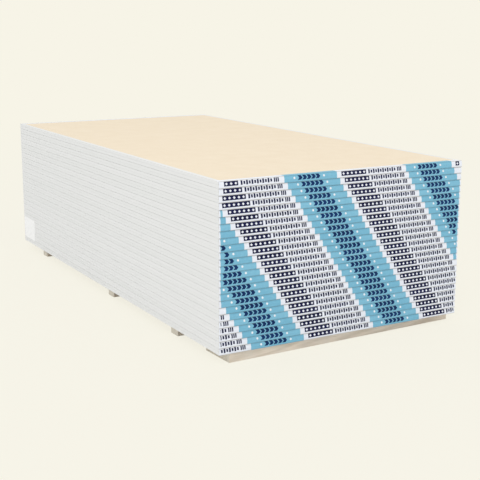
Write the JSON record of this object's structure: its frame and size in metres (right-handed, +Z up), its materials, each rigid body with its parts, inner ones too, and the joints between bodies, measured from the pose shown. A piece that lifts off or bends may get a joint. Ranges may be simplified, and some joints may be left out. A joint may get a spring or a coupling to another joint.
{
  "type": "stack of drywall sheets",
  "caption": "Stack of full-size drywall sheets in two-sheet bundles closed by paper end tapes, lying flat on timber spacers that leave gaps beneath for forks or slings.",
  "frame": {"origin": "on the floor, under the middle of the stack", "axes": "+Z up, +Y along the sheets from the near taped end to the far one, +X across the sheets"},
  "size_m": [1.2004, 2.4046, 0.7255],
  "materials": {
    "paper_faced_gypsum": "matte",
    "printed_paper_tape": "matte",
    "sawn_timber": "matte",
    "blank_paper": "matte"
  },
  "bodies": {
    "root": {"bundle_01": "paper_faced_gypsum", "bundle_02": "paper_faced_gypsum", "bundle_03": "paper_faced_gypsum", "bundle_04": "paper_faced_gypsum", "bundle_05": "paper_faced_gypsum", "bundle_06": "paper_faced_gypsum", "bundle_07": "paper_faced_gypsum", "bundle_08": "paper_faced_gypsum", "bundle_09": "paper_faced_gypsum", "bundle_10": "paper_faced_gypsum", "bundle_11": "paper_faced_gypsum", "bundle_12": "paper_faced_gypsum", "bundle_13": "paper_faced_gypsum", "bundle_14": "paper_faced_gypsum", "bundle_15": "paper_faced_gypsum", "bundle_16": "paper_faced_gypsum", "bundle_17": "paper_faced_gypsum", "bundle_18": "paper_faced_gypsum", "bundle_19": "paper_faced_gypsum", "bundle_20": "paper_faced_gypsum", "bundle_21": "paper_faced_gypsum", "bundle_22": "paper_faced_gypsum", "bundle_23": "paper_faced_gypsum", "bundle_24": "paper_faced_gypsum", "bundle_25": "paper_faced_gypsum", "near_end_tapes": "printed_paper_tape", "far_end_tapes": "printed_paper_tape", "end_spacer": "sawn_timber", "near_spacer": "sawn_timber", "middle_spacer": "sawn_timber", "far_spacer": "sawn_timber", "paper_tag": "blank_paper"}
  },
  "joints": []
}
